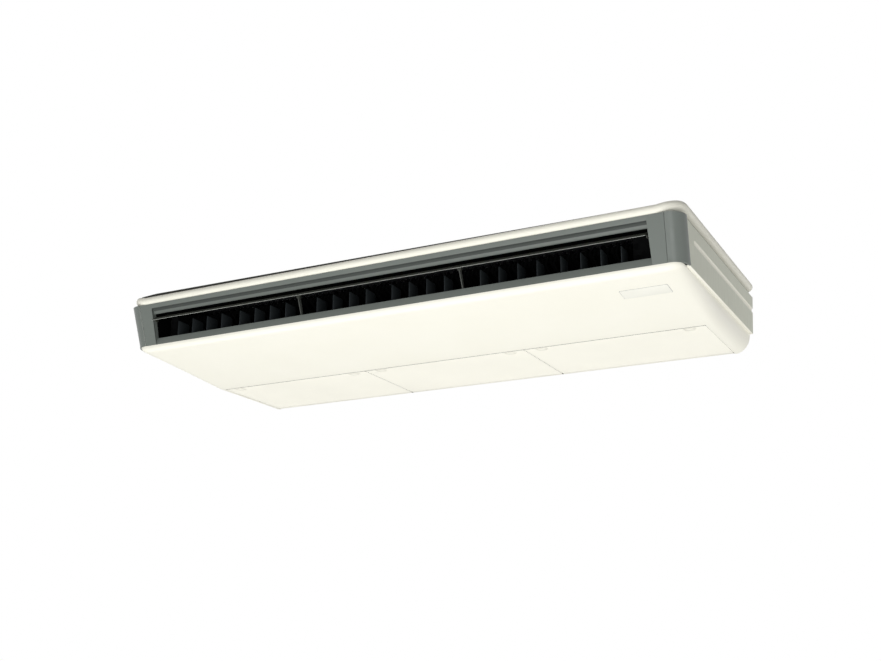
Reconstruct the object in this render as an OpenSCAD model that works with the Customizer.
// Ceiling suspended air conditioner: a three-bay indoor unit that hangs under a ceiling,
// draws air up through the underside grilles and blows it out of the front outlet.
// Millimetres. X runs along the width (+X at the viewer's right), the front faces -Y, +Z is up.
// The origin is the centre of the four suspension slots on the top plane.

/* [Casing] */
// Overall width, over the top rim
body_w = 1590; // [1560:5:1640]
// Overall depth, from the nose of the rim to the rear plate
body_d = 680; // [670:5:720]
// Overall height, from the top plate to the flat underside
body_h = 195; // [192:1:215]
// Wall of the mouldings
wall_t = 2.6; // [2.2:0.1:3]
// Folded steel sheet
sheet_t = 1.2; // [1:0.1:1.5]
// Plan radius of the corner covers
corner_r = 38; // [32:1:44]
// Height of the bull-nosed top rim
rim_h = 27; // [24:1:30]
// Depth of the groove along each side panel
groove_d = 5; // [3:0.5:6]
// Height of the groove along each side panel
groove_h = 12; // [8:1:16]

/* [Air outlet] */
// Height of the dark front band between the rim and the bottom cover
front_h = 109; // [107:1:112]
// Lean of the front band from the vertical
front_tilt = 17.2; // [15:0.2:19]
// Width of the plain plate between the outlet and each corner cover
end_plate_w = 39.5; // [36:0.5:48]
// Gap between the last vane and the end of the outlet
vane_end = 72; // [66:1:90]
// Depth of a vane, front edge to rear edge
vane_d = 46; // [40:1:48]
// Height of a vane's blade
vane_h = 40; // [34:1:42]
// Thickness of a vane's blade
vane_t = 2; // [1.6:0.1:3]
// Chord of the long flap
flap_chord = 39; // [34:1:40]
// Thickness of the long flap
flap_t = 4; // [3.4:0.1:4.6]
// Droop of the flap from the horizontal
flap_droop = 38.7; // [30:0.1:44]
// Radial clearance of every pivot
pivot_gap = 0.06; // [0.03:0.01:0.1]

/* [Suction side] */
// Depth of the suction grilles
grille_d = 291; // [280:1:300]
// Thickness of a grille
grille_t = 9; // [8:0.5:10]
// Pitch of the grille slats
slat_pitch = 9; // [8:0.5:12]
// Gap round each grille
grille_gap = 1.4; // [0.6:0.1:2]
// Thickness of an air filter
filter_t = 5; // [4:0.5:6]
// Travel of a latch knob
latch_travel = 6; // [4:0.5:7]

/* [Air path] */
// Diameter of the fan wheels
fan_d = 116; // [100:2:120]
// Width of the fan wheels
fan_w = 150; // [130:5:156]
// Blades on each fan wheel
blade_n = 30; // [24:1:32]
// Radius of the fan shaft
shaft_r = 6; // [5:0.5:7]
// Thickness of the fin pack
coil_t = 38; // [34:1:42]
// Height of the fin pack along its slope
coil_l = 224; // [210:1:228]
// Slope of the fin pack from the horizontal
coil_tilt = 27.9; // [24:0.1:30]
// Radius of the coil tubes
tube_r = 4; // [3.5:0.1:4.5]

/* [Suspension] */
// Distance from each end of the casing to its suspension slots
slot_in = 25; // [23:0.5:28]
// Slot spacing along the depth
slot_y = 237; // [200:1:280]
// Half width of a suspension slot
slot_r = 6; // [5:0.5:6.5]
// Length of a suspension slot
slot_l = 18; // [14:1:20]

/* [Hidden] */

$fn = 32;
eps = 0.01;
ivory = [0.976, 0.969, 0.922];
frame_gray = [0.47, 0.49, 0.47];
panel_gray = [0.68, 0.68, 0.64];
steel = [0.62, 0.64, 0.65];
dark_plastic = [0.11, 0.125, 0.135];
foam = [0.9, 0.9, 0.88];
copper = [0.72, 0.45, 0.2];
brass = [0.78, 0.65, 0.35];
aluminium = [0.8, 0.81, 0.82];

// Outline of the casing
half_w = body_w / 2;
y_front = -body_d / 2;
y_rear = body_d / 2;
z_base = -body_h;
rim_over = 5;
ledge = 8;
panel_x = half_w - rim_over;
cover_x = panel_x - ledge;
seam_x = panel_x - corner_r - 1;
rim_z1 = -10;
rim_z0 = rim_z1 - rim_h;
face_y1 = y_front + rim_over;
face_z0 = rim_z0 - front_h;
slope = tan(front_tilt);
function face_y(z) = face_y1 + (rim_z0 - z) * slope;
corner_y = face_y1 + corner_r / cos(front_tilt);
function edge_y(z) = corner_y + (rim_z0 - z) * slope;

// Steel case
plate_x = half_w - 50;
case_top = -sheet_t;
chamber_d = 280;
board_y = y_rear - chamber_d;
board_z0 = z_base + 19;
rib_pitch = body_w / 10.6;
port_x = plate_x - 185;
port_r = 11;
top_half = half_w - 10;
top_y = y_front + 54;
hanger_t = 3;

// Bottom cover
lip_d = 16;
lip_h = 16;
cover_y = face_y(face_z0);
lip_y = cover_y + lip_d;
cover_in_x = cover_x - 45.5;
grille_y0 = y_rear - 3 - grille_d;
fall_y = grille_y0 - grille_gap - 1;
full_h = face_z0 - z_base;
function cover_h(y) = lip_h + (full_h - lip_h) * max(0, min(1, (y - lip_y) / (fall_y - lip_y)));
function cover_top(y) = face_z0 - cover_h(y) + wall_t;

// Outlet
open_x = seam_x - end_plate_w;
cove_z = rim_z0 - 11.7;
duct_top = rim_z0 - 11.5;
sill_y = face_y(face_z0) + 3.8;
sill_z = face_z0 + 19.6;
floor_z = sill_z - 7;
duct_y1 = cover_y + 57;
post_t = 3;
vane_pitch = (open_x - vane_end) / 12.966;
post_x = 4.75 * vane_pitch;

// Flap
flap_y = face_y1 + 18.25;
flap_z = rim_z0 - 35;
flap_arm = 9;
flap_axis_y = flap_y + flap_arm * sin(flap_droop);
flap_axis_z = flap_z - flap_arm * cos(flap_droop);
flap_half = open_x - 4;
flap_pin_r = 3;

// Vanes: three sections of eight, each section in two groups of four
vane_front_y = cover_y + 2.5;
vane_axis_y = vane_front_y + vane_d - 9;
crank_y = vane_front_y + 14;
vane_z0 = sill_z + 0.6;
vane_pin_r = 2;
crank_pin_r = 1.5;
group_x = [-11.466, -7.239, -2.26, 2.26, 7.239, 11.466];
function vane_x(i) = vane_pitch * (group_x[floor(i / 4)] + (i % 4) - 1.5);
link_z0 = floor_z + 1.6;
link_z1 = vane_z0 - 1.6;

// Grilles, filters and latches
bay_x = cover_in_x - 1;
bay_w = 2 * bay_x / 3;
grille_w = bay_w - 2 * grille_gap;
grille_z1 = z_base + grille_t;
hinge_r = 5.5;
hinge_y = y_rear - 7;
hinge_z = z_base + hinge_r;
hinge_pin_r = 2.5;
hinge_x = grille_w / 2 - 46;
latch_x = 200;
latch_y = grille_y0 + 20;
grille_rim = 7;
web_t = 3;
rail_z0 = hinge_z + hinge_r + 1.5;

// Fans
shaft_y = y_rear - 135;
volute_t = 2;
volute_r = 74;
shaft_z = case_top - volute_t - volute_r;
volute_w = fan_w + 20;
fan_out = plate_x - 265;
fan_in = volute_w / 2 + 80;
fan_x = [-fan_out, -fan_in, fan_in, fan_out];
volute_end = board_y + sheet_t;
shaft_half = fan_x[3] + volute_w / 2 + 24;

// Coil
coil_y = (board_y + duct_y1) / 2;
coil_z = -100;
coil_x0 = -plate_x + 55;
coil_x1 = plate_x - 95;
tube_n = 8;
tube_pitch = coil_l / (tube_n + 0.4);
fin_pitch = 20;
function tube_s(k) = (k - (tube_n - 1) / 2) * tube_pitch;
function tube_y(k) = coil_y + tube_s(k) * cos(coil_tilt);
function tube_z(k) = coil_z - tube_s(k) * sin(coil_tilt);

// Services at the rear right
gas_x = plate_x - 42;
liquid_x = plate_x - 88;
gas_r = 7.94;
liquid_r = 4.76;
pipe_z = tube_z(0);
drain_x = plate_x - 30;
drain_z = -146;
drain_r = 13;
drain_pipe_r = 11;
drain_len = 25;
union_y = y_rear - 35;

// Suspension
slot_x = body_w - 2 * slot_in;
bracket_half = slot_y / 2 + 46.5;
bracket_h = 40;

// Control box
box_w = 88;
box_z0 = z_base + 45;

module along_x(x0, x1) {
    translate([x0, 0, 0]) rotate([90, 0, 90]) linear_extrude(x1 - x0) children();
}

module along_y(y0, y1) {
    translate([0, y1, 0]) rotate([90, 0, 0]) linear_extrude(y1 - y0) children();
}

module box(lo, hi) {
    translate(lo) cube([hi[0] - lo[0], hi[1] - lo[1], hi[2] - lo[2]]);
}

module rod_x(x0, x1, y, z, r) {
    translate([x0, y, z]) rotate([0, 90, 0]) cylinder(h = x1 - x0, r = r);
}

module both_sides() {
    children();
    mirror([1, 0, 0]) children();
}

module slot_row(z0, z1) {
    for (y = [-slot_y / 2, slot_y / 2])
        translate([slot_x / 2, y, z0]) {
            for (s = [-1, 1]) translate([s * (slot_l / 2 - slot_r), 0, 0])
                cylinder(h = z1 - z0, r = slot_r);
            translate([-(slot_l / 2 - slot_r), -slot_r, 0])
                cube([slot_l - 2 * slot_r, 2 * slot_r, z1 - z0]);
        }
}

// Flat steel lid with a turned-down edge, pressed ribs and the four slots
module top_plate() {
    color(steel) difference() {
        box([-top_half, top_y, rim_z1], [top_half, y_rear, 0]);
        box([-top_half + sheet_t, top_y + sheet_t, rim_z1 - 1],
            [top_half - sheet_t, y_rear + 1, -sheet_t]);
        both_sides() slot_row(-20, 1);
        for (x = [-4 : 4])
            box([x * rib_pitch - 6, top_y + 40, -0.5], [x * rib_pitch + 6, y_rear - 40, 1]);
    }
}

// Side plates, rear plate and the board the fans blow through
module steel_case() {
    y0 = duct_y1 + 1;
    t = sheet_t;
    color(steel) {
        both_sides() along_x(plate_x - t, plate_x) polygon([
            [y0, case_top], [y_rear - t, case_top], [y_rear - t, rail_z0], [fall_y, rail_z0],
            [y0, cover_top(y0) + 4]]);
        difference() {
            union() {
                box([-plate_x - 22, y_rear - t, face_z0], [plate_x + 22, y_rear, case_top]);
                box([-bay_x + 1.5, y_rear - t, rail_z0], [bay_x - 1.5, y_rear, case_top]);
            }
            box([liquid_x - 24, y_rear - 5, pipe_z - 24], [gas_x + 24, y_rear + 1, pipe_z + 24]);
            translate([drain_x, y_rear + 1, drain_z]) rotate([90, 0, 0])
                cylinder(h = 5, r = drain_r + 9);
            for (s = [-1, 1]) translate([s * port_x, y_rear + 1, shaft_z - 33])
                rotate([90, 0, 0]) cylinder(h = 5, r = port_r);
        }
        difference() {
            box([-plate_x + t, board_y, board_z0], [plate_x - t, volute_end, case_top]);
            for (x = fan_x) box([x - volute_w / 2 + volute_t, board_y - 1, shaft_z + 14],
                [x + volute_w / 2 - volute_t, volute_end + 1, case_top - volute_t]);
            for (p = [[gas_x, gas_r], [liquid_x, liquid_r]]) translate([p[0], volute_end + 1, pipe_z])
                rotate([90, 0, 0]) cylinder(h = 5, r = p[1] + 3);
            translate([drain_x, volute_end + 1, drain_z]) rotate([90, 0, 0])
                cylinder(h = 5, r = drain_pipe_r + 2);
        }
        for (x = [coil_x0 - t, coil_x1]) difference() {
            along_x(x, x + t) polygon([[y0, case_top], [board_y, case_top],
                [board_y, board_z0], [fall_y + 1, board_z0], [fall_y + 1, cover_top(fall_y) + 26],
                [y0 + 20, cover_top(y0) + 12], [y0, duct_top - 60]]);
            translate([x - 1, 0, 0]) coil_shift() cube([t + 2, 2 * (tube_s(tube_n - 1) + tube_r + 1),
                2 * (tube_r + 1)]);
        }
        box([coil_x1, y0, -118], [plate_x - t, y0 + t, case_top]);
        box([-plate_x + t, y0, -118], [coil_x0, y0 + t, case_top]);
    }
}

module coil_shift() {
    translate([0, coil_y, coil_z]) rotate([-coil_tilt, 0, 0])
        translate([0, -(tube_s(tube_n - 1) + tube_r + 1), -(tube_r + 1)]) children();
}

// Angle brackets that carry the weight on the suspension bolts
module hanger_brackets() {
    color(steel) both_sides() difference() {
        union() {
            box([plate_x, -bracket_half, case_top - hanger_t], [top_half - 2, bracket_half,
                case_top]);
            box([plate_x, -bracket_half, case_top - bracket_h], [plate_x + hanger_t,
                bracket_half, case_top]);
            for (y = [-slot_y / 4, slot_y / 4]) box([plate_x, y - 1.5, case_top - 24],
                [plate_x + 22, y + 1.5, case_top]);
        }
        slot_row(-20, 1);
    }
}

// Right-hand side panel: a flat face with one long groove that starts behind the corner cover
module side_panel() {
    groove_z = rim_z0 - 44;
    groove_y = y_front + 114;
    face = [[corner_y, rim_z0], [y_rear, rim_z0], [y_rear, face_z0], [edge_y(face_z0), face_z0]];
    difference() {
        union() {
            along_x(panel_x - wall_t, panel_x) polygon(face);
            along_x(panel_x - 11, panel_x) polygon([[corner_y, rim_z0], [y_rear, rim_z0],
                [y_rear, rim_z0 - wall_t], [edge_y(rim_z0 - wall_t), rim_z0 - wall_t]]);
            along_x(panel_x - 11, panel_x) polygon([[edge_y(face_z0 + wall_t), face_z0 + wall_t],
                [y_rear, face_z0 + wall_t], [y_rear, face_z0], [edge_y(face_z0), face_z0]]);
            box([panel_x - groove_d - wall_t, groove_y - groove_h / 2 - wall_t,
                groove_z - groove_h / 2 - wall_t],
                [panel_x, y_rear, groove_z + groove_h / 2 + wall_t]);
        }
        box([panel_x - groove_d, groove_y, groove_z - groove_h / 2],
            [panel_x + 1, y_rear + 1, groove_z + groove_h / 2]);
        rod_x(panel_x - groove_d, panel_x + 1, groove_y, groove_z, groove_h / 2);
    }
}

module side_panel_left() {
    color(panel_gray) mirror([1, 0, 0]) side_panel();
}

module side_panel_right() {
    color(panel_gray) side_panel();
}

// Quarter-round covers over the two front corners, with a raised lip at the foot
module corner_covers() {
    lip = 4;
    color(frame_gray) both_sides() difference() {
        union() {
            quarter_post(corner_r, face_z0, rim_z0);
            quarter_post(corner_r + 0.7, face_z0, face_z0 + lip);
        }
        quarter_post(corner_r - wall_t, face_z0 - 1, rim_z0 - wall_t);
    }
}

module quarter_post(r, z0, z1) {
    intersection() {
        translate([seam_x + 1, corner_y, rim_z0]) rotate([front_tilt, 0, 0])
            translate([0, 0, -2 * front_h]) intersection() {
                cylinder(h = 3 * front_h, r = r, $fn = 64);
                translate([-1, -2 * r, 0]) cube([3 * r, 2 * r, 3 * front_h]);
            }
        box([seam_x, y_front - 20, z0], [half_w + 20, 0, z1]);
    }
}

// Bull-nosed rim round the front and both sides, with shelves for the lid
module top_rim() {
    nose = rim_h / 2;
    r_out = corner_r + rim_over;
    cx = half_w - r_out;
    cy = y_front + r_out;
    color(ivory) {
        both_sides() {
            translate([cx, 0, 0]) along_y(cy, y_rear) rim_section(r_out, nose);
            translate([cx, cy, 0]) rotate([0, 0, -90])
                rotate_extrude(angle = 90, $fn = 64) rim_section(r_out, nose);
            box([cx + 26, cy, rim_z0], [half_w - nose, y_rear, rim_z0 + wall_t]);
        }
        along_x(-cx, cx) translate([cy, 0]) mirror([1, 0]) rim_section(r_out, nose);
        translate([0, 0, rim_z1 - wall_t]) linear_extrude(wall_t) difference() {
            union() {
                translate([-half_w + nose, cy]) square([2 * (half_w - nose), y_rear - cy]);
                translate([-cx, y_front + nose]) square([2 * cx, r_out]);
                for (s = [-1, 1]) translate([s * cx, cy]) circle(r = r_out - nose);
            }
            translate([-half_w + 22, top_y + 8]) square([body_w - 44, body_d]);
        }
    }
}

module rim_section(r_out, nose) {
    translate([r_out - nose, rim_z1 - nose]) intersection() {
        difference() {
            circle(r = nose, $fn = 48);
            circle(r = nose - wall_t, $fn = 48);
        }
        translate([0, -nose - 1]) square([nose + 1, 2 * nose + 2]);
    }
    translate([r_out - nose - 8, rim_z1 - wall_t]) square([8 + eps, wall_t]);
    translate([r_out - nose - 8, rim_z0]) square([8 + eps, wall_t]);
}

// Front band: upper strip, cove and duct roof, sill and duct floor, end plates and posts
module outlet_frame() {
    w = wall_t;
    color(frame_gray) difference() {
        union() {
            along_x(-open_x, open_x) upper_section(w);
            along_x(-open_x, open_x) sill_section(w);
            both_sides() {
                along_x(open_x - eps, seam_x) polygon([[face_y1, rim_z0],
                    [cover_y, face_z0], [cover_y + w, face_z0], [face_y1 + 1.4 * w, rim_z0 - w],
                    [face_y1 + 18, rim_z0 - w], [face_y1 + 18, rim_z0]]);
                along_x(open_x, open_x + w) polygon([[face_y1 + 1, rim_z0],
                    [face_y(face_z0) + 1, face_z0], [duct_y1, face_z0 + 6],
                    [duct_y1, rim_z0 - 4], [face_y1 + 30, rim_z0]]);
                along_x(post_x - post_t / 2, post_x + post_t / 2) post_section();
            }
            for (i = [0 : 23]) translate([vane_x(i), vane_axis_y, floor_z - 6])
                cylinder(h = 5, r = 5);
        }
        for (i = [0 : 23]) translate([vane_x(i), vane_axis_y, floor_z - 10])
            cylinder(h = 20, r = vane_pin_r + pivot_gap);
        rod_x(-open_x - 10, open_x + 10, flap_axis_y, flap_axis_z, flap_pin_r + pivot_gap);
    }
}

module upper_section(w) {
    cy = face_y(cove_z);
    polygon([[face_y1, rim_z0], [cy, cove_z], [cy + 4.4, cove_z - 0.2], [cy + 7.9, cove_z - 2.8],
        [cy + 10.9, cove_z - 7.3], [cy + 14.4, cove_z - 13], [cy + 16.6, cove_z - 13.4],
        [cy + 22, cove_z - 7], [cy + 31, duct_top - 3], [duct_y1, duct_top],
        [duct_y1, duct_top + w], [cy + 31, duct_top + w - 3], [cy + 24, cove_z - 4],
        [cy + 16, cove_z + 2], [face_y1 + 1.4 * w, rim_z0 - w], [face_y1 + 18, rim_z0 - w],
        [face_y1 + 18, rim_z0]]);
}

module sill_section(w) {
    polygon([[cover_y, face_z0], [sill_y, sill_z], [sill_y + w, sill_z],
        [sill_y + w + 1.4, floor_z], [duct_y1, floor_z - 3], [duct_y1, floor_z - 3 - w],
        [sill_y + 2, floor_z - w], [cover_y + w, face_z0]]);
}

module post_section() {
    difference() {
        union() {
            polygon([[flap_axis_y - 5.8, flap_axis_z - 1], [sill_y + 0.4, sill_z - 1],
                [sill_y + 4, floor_z - 1], [sill_y + 12, floor_z - 1],
                [flap_axis_y + 5.8, flap_axis_z - 1]]);
            translate([flap_axis_y, flap_axis_z]) circle(r = 5.9);
        }
    }
}

// Full-width horizontal flap, pivoted in the end plates and on the two posts
module flap() {
    n = 12;
    up = [for (k = [0 : n]) let (t = -1 + 2 * k / n)
        [t * flap_chord / 2, flap_t / 2 * sqrt(1 - t * t) + 1.2 * (1 - t * t)]];
    low = [for (k = [1 : n - 1]) let (t = 1 - 2 * k / n)
        [t * flap_chord / 2, -flap_t / 2 * sqrt(1 - t * t) + 1.2 * (1 - t * t)]];
    lug_r = 5.4;
    color(frame_gray) {
        difference() {
            along_x(-flap_half, flap_half) translate([flap_y, flap_z])
                rotate(flap_droop) polygon(concat(up, low));
            for (s = [-1, 1]) rod_x(s * post_x - post_t / 2 - 0.8, s * post_x + post_t / 2 + 0.8,
                flap_axis_y, flap_axis_z, 6.6);
        }
        both_sides() {
            for (x = [post_x - post_t / 2 - 3, post_x + post_t / 2 + 0.8, flap_half - 2.4])
                along_x(x, x + 2.2) flap_lug(lug_r);
            rod_x(post_x - post_t / 2 - 2, post_x + post_t / 2 + 2, flap_axis_y, flap_axis_z,
                flap_pin_r);
            rod_x(flap_half - 1, open_x + wall_t, flap_axis_y, flap_axis_z, flap_pin_r);
        }
    }
}

module flap_lug(r) {
    translate([flap_axis_y, flap_axis_z]) {
        circle(r = r);
        rotate(flap_droop) translate([-r, 0]) square([2 * r, flap_arm]);
    }
}

// One upright vane with its pivot pin, foot and crank pin
module vane(i) {
    r = 7;
    color(dark_plastic) translate([vane_x(i), 0, 0]) {
        along_x(-vane_t / 2, vane_t / 2) {
            translate([vane_front_y, vane_z0]) square([vane_d, vane_h - r]);
            translate([vane_front_y + r, vane_z0]) square([vane_d - r, vane_h]);
            translate([vane_front_y + r, vane_z0 + vane_h - r]) circle(r = r);
        }
        translate([0, vane_axis_y, floor_z - 1])
            cylinder(h = vane_z0 - floor_z + 2, r = vane_pin_r + 1.4, $fn = 20);
        translate([0, vane_axis_y, floor_z - 5.4])
            cylinder(h = 8, r = vane_pin_r, $fn = 20);
        translate([0, crank_y, link_z0 - 0.8])
            cylinder(h = vane_z0 - link_z0 + 2, r = crank_pin_r, $fn = 20);
        translate([0, crank_y, link_z0 - 1])
            cylinder(h = 1, r = crank_pin_r + 1, $fn = 20);
    }
}

// Flat bar that ties the crank pins of one section of eight vanes together
module vane_link(s) {
    x0 = vane_x(8 * s);
    x1 = vane_x(8 * s + 7);
    color(dark_plastic) difference() {
        union() {
            box([x0, crank_y - 2, link_z0], [x1, crank_y + 2, link_z1]);
            for (k = [0 : 7]) translate([vane_x(8 * s + k), crank_y, link_z0])
                cylinder(h = link_z1 - link_z0, r = 3.4, $fn = 20);
        }
        for (k = [0 : 7]) translate([vane_x(8 * s + k), crank_y, link_z0 - 1])
            cylinder(h = 10, r = crank_pin_r + pivot_gap, $fn = 20);
    }
}

// Skin of the bottom cover as one ring surface: arc stations round the plan, levels down the side
cover_seg = 5;
cover_arc = 7;
cover_lev = 8;
cover_n = 2 + cover_seg + cover_arc;
cover_m = cover_lev + 1;

function cover_point(i, j, t) = let (
        a = 90 * j / cover_lev,
        hx = cover_x - t - (cover_x - t - cover_in_x) * (1 - cos(a)),
        yf = cover_y + t + (lip_d - t) * (1 - cos(a)),
        r = max(3, (corner_r - ledge - t) * cos(a)),
        k = i - 2 - cover_seg,
        f = 90 * (k + 1) / cover_arc,
        x = k < 0 ? hx : hx - r + r * cos(f),
        y = i == 0 ? y_rear : k < 0 ? fall_y + (yf + r - fall_y) * (i - 1) / cover_seg
            : yf + r - r * sin(f))
    [x, y, face_z0 - (cover_h(y) - t) * sin(a)];

function mirrored(p) = [-p[0], p[1], p[2]];

module bottom_cover() {
    n = cover_n;
    m = cover_m;
    layer = n * m;
    pts = [for (t = [0, wall_t], s = [1, -1], i = [0 : n - 1], j = [0 : m - 1])
        let (p = cover_point(i, j, t)) s > 0 ? p : mirrored(p)];
    function id(side, s, i, j) = side * 2 * layer + s * layer + i * m + j;
    function tri(a, b, c, d, flip) = flip ? [[a, c, b], [a, d, c]] : [[a, b, c], [a, c, d]];
    skin = [for (side = [0, 1], s = [0, 1], i = [0 : n - 2], j = [0 : m - 2])
        each tri(id(side, s, i, j), id(side, s, i, j + 1), id(side, s, i + 1, j + 1),
            id(side, s, i + 1, j), (side + s) % 2 == 1)];
    front = [for (side = [0, 1], j = [0 : m - 2])
        each tri(id(side, 0, n - 1, j), id(side, 0, n - 1, j + 1), id(side, 1, n - 1, j + 1),
            id(side, 1, n - 1, j), side == 1)];
    floor = [for (side = [0, 1], i = [0 : n - 2])
        each tri(id(side, 0, i, m - 1), id(side, 1, i, m - 1), id(side, 1, i + 1, m - 1),
            id(side, 0, i + 1, m - 1), side == 1)];
    edge = [for (s = [0, 1], i = [0 : n - 2])
        each tri(id(0, s, i, 0), id(0, s, i + 1, 0), id(1, s, i + 1, 0), id(1, s, i, 0), s == 1)];
    front_edge = tri(id(0, 0, n - 1, 0), id(0, 1, n - 1, 0), id(1, 1, n - 1, 0),
        id(1, 0, n - 1, 0), false);
    rear = [for (s = [0, 1], j = [0 : m - 2])
        each tri(id(0, s, 0, j), id(1, s, 0, j), id(1, s, 0, j + 1), id(0, s, 0, j + 1), s == 1)];
    rear_floor = tri(id(0, 0, 0, m - 1), id(1, 0, 0, m - 1), id(1, 1, 0, m - 1),
        id(0, 1, 0, m - 1), false);
    color(ivory) difference() {
        polyhedron(points = pts, faces = concat(skin, front, floor, edge, front_edge, rear,
            rear_floor), convexity = 8);
        box([-bay_x, grille_y0 - grille_gap, z_base - 1], [bay_x, y_rear + 1, z_base + 20]);
    }
}

// Insulated pan under the coil, on three ribs, falling to the rear with the slope of the cover
module drain_pan() {
    y0 = duct_y1 + 3;
    y1 = fall_y - 4;
    x = bay_x - 0.5;
    seat = 0.4;
    section = [[y0, cover_top(y0) + seat], [y1, cover_top(y1) + seat], [y1, cover_top(y1) + 20],
        [y1 - 8, cover_top(y1) + 20], [y1 - 14, cover_top(y1) + 8],
        [y1 - 60, cover_top(y1 - 60) + 8], [y0 + 14, cover_top(y0) + 9],
        [y0 + 8, floor_z - 6], [y0, floor_z - 6]];
    color(foam) {
        along_x(-x, x) polygon(section);
        both_sides() along_x(x - 8, x) polygon([[y0, cover_top(y0) + seat],
            [y1, cover_top(y1) + seat], [y1, cover_top(y1) + 20], [y0, cover_top(y0) + 20]]);
        for (rib = [-x + 20, 0, x - 20]) along_x(rib - 1.5, rib + 1.5)
            polygon([[y0 + 10, cover_top(y0 + 10)], [y1 - 10, cover_top(y1 - 10)],
                [y1 - 10, cover_top(y1 - 10) + 2], [y0 + 10, cover_top(y0 + 10) + 2]]);
    }
}

module coil_frame() {
    translate([0, coil_y, coil_z]) rotate([-coil_tilt, 0, 0]) children();
}

// Fin pack: a core with deep fin slots on both faces, drilled for the tubes
module coil_fins() {
    color(aluminium) coil_frame() difference() {
        box([coil_x0, -coil_l / 2, -coil_t / 2], [coil_x1, coil_l / 2, coil_t / 2]);
        for (x = [coil_x0 + 8 : fin_pitch : coil_x1 - fin_pitch])
            for (s = [-1, 1]) translate([x, -coil_l / 2 - 1, s > 0 ? 7 : -coil_t / 2 - 1])
                cube([fin_pitch - 6, coil_l + 2, coil_t / 2 - 6]);
        for (k = [0 : tube_n - 1]) rod_x(coil_x0 - 1, coil_x1 + 1,
            (k - (tube_n - 1) / 2) * tube_pitch, 0, tube_r + 0.05);
    }
}

// Serpentine tube with return bends at both ends, and the two pipes that run to the rear
module coil_tubes() {
    bend = 12;
    last = tube_n - 1;
    color(copper) {
        coil_frame() {
            for (k = [0 : last]) rod_x(coil_x0 - bend, coil_x1 + bend, tube_s(k), 0, tube_r);
            for (k = [0 : last - 1])
                translate([k % 2 == 0 ? coil_x0 - bend : coil_x1 + bend,
                    (tube_s(k) + tube_s(k + 1)) / 2, 0])
                    rotate([0, 0, k % 2 == 0 ? 90 : -90]) rotate_extrude(angle = 180)
                        translate([tube_pitch / 2, 0]) circle(r = tube_r);
        }
        rod_x(coil_x1 + bend - 1, gas_x, tube_y(0), tube_z(0), tube_r);
        translate([gas_x, tube_y(0), tube_z(0)]) sphere(r = gas_r);
        run_back(gas_x, tube_y(0), gas_r);
        rod_x(coil_x1 + bend - 1, liquid_x, tube_y(last), tube_z(last), tube_r);
        translate([liquid_x, tube_y(last), tube_z(last)]) {
            sphere(r = liquid_r);
            cylinder(h = pipe_z - tube_z(last), r = liquid_r);
        }
        translate([liquid_x, tube_y(last), pipe_z]) sphere(r = liquid_r);
        run_back(liquid_x, tube_y(last), liquid_r);
    }
}

module run_back(x, y, r) {
    translate([x, union_y + 8, pipe_z]) rotate([90, 0, 0]) cylinder(h = union_y + 8 - y, r = r);
}

volute_r0 = fan_d / 2 + 5;
function volute_line(t) = [for (k = [0 : 18]) let (a = 190 + 260 * k / 18,
    r = volute_r0 + (volute_r - volute_r0) * k / 18 + t) [r * cos(a), r * sin(a)]];

// Scroll housings: open forwards through the fan board, with a round inlet on each side
module fan_housings() {
    color(dark_plastic) for (x = fan_x) difference() {
        along_x(x - volute_w / 2, x + volute_w / 2) volute_outline(volute_t);
        along_x(x - volute_w / 2 + volute_t, x + volute_w / 2 - volute_t) volute_outline(0);
        rod_x(x - volute_w, x + volute_w, shaft_y, shaft_z, fan_d / 2 - 6);
    }
}

module volute_outline(t) {
    reach = shaft_y - volute_end + (t > 0 ? 0 : 1);
    translate([shaft_y, shaft_z]) polygon(concat(volute_line(t),
        [[-reach, volute_r + t], [-reach, 14 - t], [-volute_r0 - t, 14 - t]]));
}

// Double-shaft motor on a cradle under the lid, with a bearing bracket at each end of the shaft
module fan_motor() {
    color(steel) difference() {
        union() {
            rod_x(-52, 52, shaft_y, shaft_z, 44);
            for (x = [-40, 30]) box([x, shaft_y - 30, shaft_z], [x + 10, shaft_y + 30, case_top]);
            rod_x(-58, 58, shaft_y, shaft_z, 16);
            both_sides() {
                box([shaft_half - 10, shaft_y - 12, shaft_z], [shaft_half - 2, shaft_y + 12,
                    case_top]);
                rod_x(shaft_half - 10, shaft_half - 2, shaft_y, shaft_z, 12);
            }
        }
        rod_x(-shaft_half - 1, shaft_half + 1, shaft_y, shaft_z, shaft_r + pivot_gap);
    }
}

// Four forward-curved wheels on their hubs
module fan_wheels() {
    ro = fan_d / 2;
    ri = ro - 11;
    color(dark_plastic) for (x = fan_x) {
        for (s = [-1, 1]) translate([x + s * (fan_w / 2 - 2) - 2, shaft_y, shaft_z])
            rotate([0, 90, 0]) difference() {
                cylinder(h = 4, r = ro);
                translate([0, 0, -1]) cylinder(h = 6, r = ri);
            }
        translate([x - 1.5, shaft_y, shaft_z]) rotate([0, 90, 0]) difference() {
            cylinder(h = 3, r = ro - 0.5);
            translate([0, 0, -1]) cylinder(h = 5, r = shaft_r);
        }
        translate([x - 14, shaft_y, shaft_z]) rotate([0, 90, 0]) difference() {
            cylinder(h = 28, r = shaft_r + 7);
            translate([0, 0, -1]) cylinder(h = 30, r = shaft_r);
        }
        for (k = [0 : blade_n - 1]) translate([0, shaft_y, shaft_z])
            rotate([k * 360 / blade_n, 0, 0])
                along_x(x - fan_w / 2 + 1, x + fan_w / 2 - 1) polygon([[ri + 1, -0.7],
                    [ri + 6, -1.6], [ro - 0.8, -5], [ro - 0.8, -3.6], [ri + 6, -0.2],
                    [ri + 1, 0.7]]);
    }
}

module fan_shaft() {
    color(steel) rod_x(-shaft_half, shaft_half, shaft_y, shaft_z, shaft_r);
}

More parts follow.
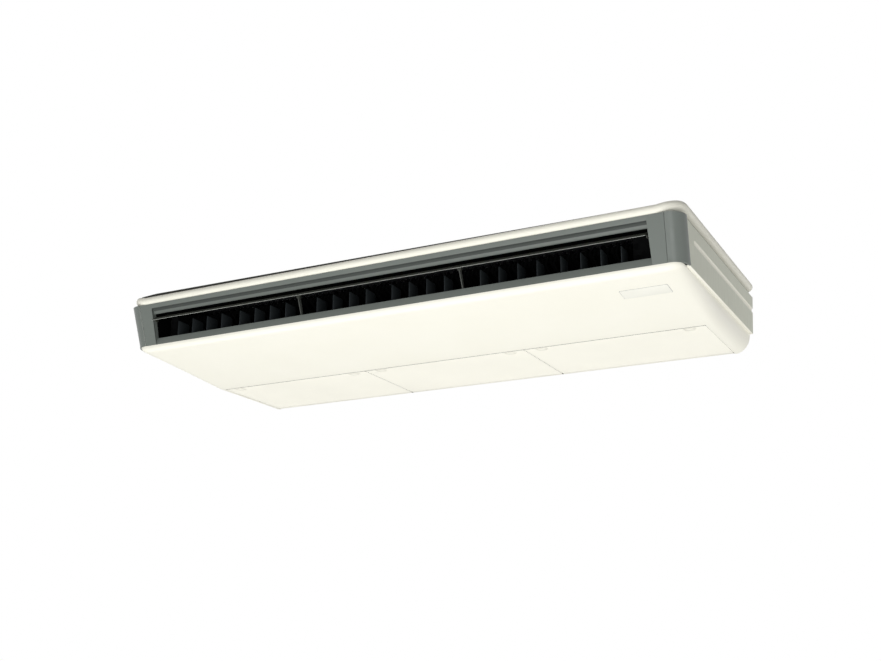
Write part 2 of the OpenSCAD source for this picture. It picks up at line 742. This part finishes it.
// Sheet-metal box for the electrical parts at the left end of the fan chamber
module control_box() {
    x0 = -plate_x + sheet_t;
    x1 = x0 + box_w;
    y0 = volute_end;
    y1 = y_rear - 30;
    t = sheet_t;
    color(steel) {
        difference() {
            box([x0, y0, box_z0], [x1, y1, case_top]);
            box([x0 + t, y0 + t, box_z0 - 1], [x1 - t, y1 - t, case_top - t]);
            translate([x0 + 40, y1 + 1, -60]) rotate([90, 0, 0]) cylinder(h = 5, r = 12);
        }
        difference() {
            box([x0 + t, y0 + t, box_z0], [x1 - t, y1 - t, box_z0 + t]);
            box([x0 + 30, y0 + 30, box_z0 - 1], [x1 - 30, y0 + 80, box_z0 + 10]);
        }
        for (k = [0 : 5]) box([x0 + t, y0 + 30 + k * 26, box_z0 + 60],
            [x0 + 22, y0 + 50 + k * 26, box_z0 + 100]);
    }
}

// Flare unions on the two pipes, and the drain socket with the pump that lifts the water to it
module pipe_fittings() {
    sump_y = fall_y - 34;
    color(brass) {
        flare_union(gas_x, 11.1, gas_r);
        flare_union(liquid_x, 7.95, liquid_r);
        difference() {
            union() {
                translate([drain_x, y_rear - 2, drain_z]) rotate([90, 0, 0])
                    cylinder(h = drain_len, r = drain_r);
                translate([drain_x, y_rear - drain_len, drain_z]) rotate([90, 0, 0])
                    cylinder(h = y_rear - drain_len - sump_y, r = drain_pipe_r);
                translate([drain_x, sump_y, cover_top(sump_y - 8) + 9])
                    cylinder(h = drain_z - cover_top(sump_y - 8) - 9, r = drain_pipe_r);
                translate([drain_x, sump_y, drain_z]) sphere(r = drain_pipe_r);
            }
            translate([drain_x, y_rear, drain_z]) rotate([90, 0, 0])
                cylinder(h = 60, r = drain_pipe_r - 2.5);
        }
    }
}

module flare_union(x, r_thread, r_pipe) {
    difference() {
        union() {
            translate([x, y_rear - 3, pipe_z]) rotate([90, 0, 0]) cylinder(h = 19, r = r_thread);
            translate([x, y_rear - 21, pipe_z]) rotate([90, 0, 0])
                cylinder(h = y_rear - 21 - union_y, r = r_thread + 3.5, $fn = 6);
        }
        translate([x, y_rear, pipe_z]) rotate([90, 0, 0]) cylinder(h = 27, r = r_pipe - 1);
        translate([x, union_y + 8.2, pipe_z]) rotate([90, 0, 0]) cylinder(h = 20, r = r_pipe + 0.05);
    }
}

// Rails and webs that carry the grille hinges and part the three bays
module grille_frame() {
    web_y0 = volute_end;
    color(steel) difference() {
        union() {
            box([-bay_x + 1.5, hinge_y - 9, rail_z0], [bay_x - 1.5, y_rear - sheet_t,
                rail_z0 + 2]);
            box([-bay_x + 1.5, hinge_y - 9, rail_z0], [bay_x - 1.5, hinge_y - 7, rail_z0 + 12]);
            for (s = [-1, 1]) box([s * bay_w / 2 - web_t / 2, web_y0, grille_z1 + 1],
                [s * bay_w / 2 + web_t / 2, hinge_y - 8, grille_z1 + 24]);
            for (c = [-1, 0, 1], s = [-1, 1]) along_x(c * bay_w + s * hinge_x - 5,
                c * bay_w + s * hinge_x + 5) {
                translate([hinge_y, hinge_z]) circle(r = hinge_r - 0.6);
                translate([hinge_y - 4, hinge_z]) square([8, rail_z0 - hinge_z + 1]);
            }
        }
        rod_x(-body_w, body_w, hinge_y, hinge_z, hinge_pin_r + pivot_gap);
    }
}

// Small motors: one for the flap, one under the first vane of each section
module louver_motors() {
    color(steel) {
        box([open_x + wall_t, flap_axis_y - 3.4, flap_axis_z - 11],
            [open_x + wall_t + 22, flap_axis_y + 22, flap_axis_z + 13]);
        for (s = [0 : 2]) translate([vane_x(8 * s), vane_axis_y, floor_z - 26])
            cylinder(h = 20, r = 10);
    }
}

// Suction grille: border, slats, ribs, hinge pins and the pads that hold the latches
module grille(c) {
    x = c * bay_w;
    half = grille_w / 2;
    y1 = hinge_y;
    slat_n = floor((y1 - 8 - grille_y0 - grille_rim) / slat_pitch);
    color(ivory) translate([x, 0, 0]) difference() {
        union() {
            difference() {
                box([-half, grille_y0, z_base], [half, y1, grille_z1]);
                box([-half + grille_rim, grille_y0 + grille_rim, z_base - 1],
                    [half - grille_rim, y1 - 8, grille_z1 + 1]);
            }
            rod_x(-half, half, hinge_y, hinge_z, hinge_r);
            for (k = [1 : slat_n]) box([-half + 1, grille_y0 + grille_rim + k * slat_pitch - 5,
                z_base], [half - 1, grille_y0 + grille_rim + k * slat_pitch - 2, z_base + 4]);
            for (k = [-4 : 4]) box([k * half / 4.7 - 1, grille_y0 + 1, z_base + 2],
                [k * half / 4.7 + 1, y1 - 4, z_base + 7]);
            for (s = [-1, 1]) translate([s * latch_x, latch_y - 4, z_base])
                latch_pad(22, 6);
        }
        for (s = [-1, 1]) {
            box([s * hinge_x - 6, hinge_y - 8, z_base - 1], [s * hinge_x + 6, y_rear,
                grille_z1 + 3]);
            box([s * latch_x - 12.4, latch_y - 8.4 - latch_travel, z_base - 1],
                [s * latch_x + 12.4, latch_y + 8.4, z_base + 4]);
            box([s * latch_x - 3.4, latch_y - 4.4 - latch_travel, z_base],
                [s * latch_x + 3.4, latch_y + 4.4, z_base + 7]);
            box([s * latch_x - 5.4, grille_y0 - 1, z_base + wall_t + 0.2],
                [s * latch_x + 5.4, grille_y0 + grille_rim + 0.5, grille_z1 + 1]);
        }
    }
    color(ivory) translate([x, 0, 0]) for (s = [-1, 1])
        rod_x(s * hinge_x - 6.5, s * hinge_x + 6.5, hinge_y, hinge_z, hinge_pin_r);
}

module latch_pad(r, h) {
    intersection() {
        cylinder(h = h, r = r);
        translate([-r, 1 - 16, 0]) cube([2 * r, 2 * r, h]);
    }
    translate([-r, 1 - 16, 0]) cube([2 * r, 16, h]);
}

// Sliding latch: knob below the pad, stem through its slot, tongue that passes over the cover
module latch(c, s) {
    pad_z = z_base + 6;
    tip = grille_y0 - latch_y + 0.4;
    color(ivory) translate([c * bay_w + s * latch_x, latch_y, 0]) {
        difference() {
            box([-12, -8, z_base + 0.2], [12, 8, z_base + 4]);
            translate([-8, 1, z_base - 3.4]) rotate([0, 90, 0]) cylinder(h = 16, r = 5.4);
        }
        box([-3, -4, z_base + 3.5], [3, 4, pad_z + 0.5]);
        box([-5, tip, pad_z], [5, 4, pad_z + 2]);
        box([-5, tip, z_base + wall_t + 0.4], [5, tip + 4, pad_z + 1]);
    }
}

// Air filter: a ribbed frame with a thin net, lying on the grille
module filter(c) {
    x = c * bay_w;
    half = grille_w / 2 - 5;
    y0 = volute_end + 2;
    y1 = hinge_y - 14;
    z0 = grille_z1;
    color(dark_plastic) translate([x, 0, 0]) {
        difference() {
            box([-half, y0, z0], [half, y1, z0 + filter_t]);
            for (i = [0 : 7], j = [0 : 3]) {
                dx = (2 * half - 4) / 8;
                dy = (y1 - y0 - 4) / 4;
                box([-half + 4 + i * dx, y0 + 4 + j * dy, z0 + 0.6],
                    [-half + i * dx + dx, y0 + j * dy + dy, z0 + filter_t + 1]);
            }
        }
    }
}

top_plate();
steel_case();
hanger_brackets();
side_panel_left();
side_panel_right();
corner_covers();
top_rim();
outlet_frame();
bottom_cover();
drain_pan();
coil_fins();
coil_tubes();
fan_housings();
fan_motor();
control_box();
pipe_fittings();
grille_frame();
louver_motors();
fan_wheels();
fan_shaft();
flap();
grille(-1);  // grille_left
grille(0);  // grille_middle
grille(1);  // grille_right
filter(-1);  // filter_left
filter(0);  // filter_middle
filter(1);  // filter_right
latch(-1, -1);  // latch_left_a
latch(-1, 1);  // latch_left_b
latch(0, -1);  // latch_middle_a
latch(0, 1);  // latch_middle_b
latch(1, -1);  // latch_right_a
latch(1, 1);  // latch_right_b
vane_link(0);  // vane_link_left
vane_link(1);  // vane_link_middle
vane_link(2);  // vane_link_right
vane(0);  // vane_01
vane(1);  // vane_02
vane(2);  // vane_03
vane(3);  // vane_04
vane(4);  // vane_05
vane(5);  // vane_06
vane(6);  // vane_07
vane(7);  // vane_08
vane(8);  // vane_09
vane(9);  // vane_10
vane(10);  // vane_11
vane(11);  // vane_12
vane(12);  // vane_13
vane(13);  // vane_14
vane(14);  // vane_15
vane(15);  // vane_16
vane(16);  // vane_17
vane(17);  // vane_18
vane(18);  // vane_19
vane(19);  // vane_20
vane(20);  // vane_21
vane(21);  // vane_22
vane(22);  // vane_23
vane(23);  // vane_24
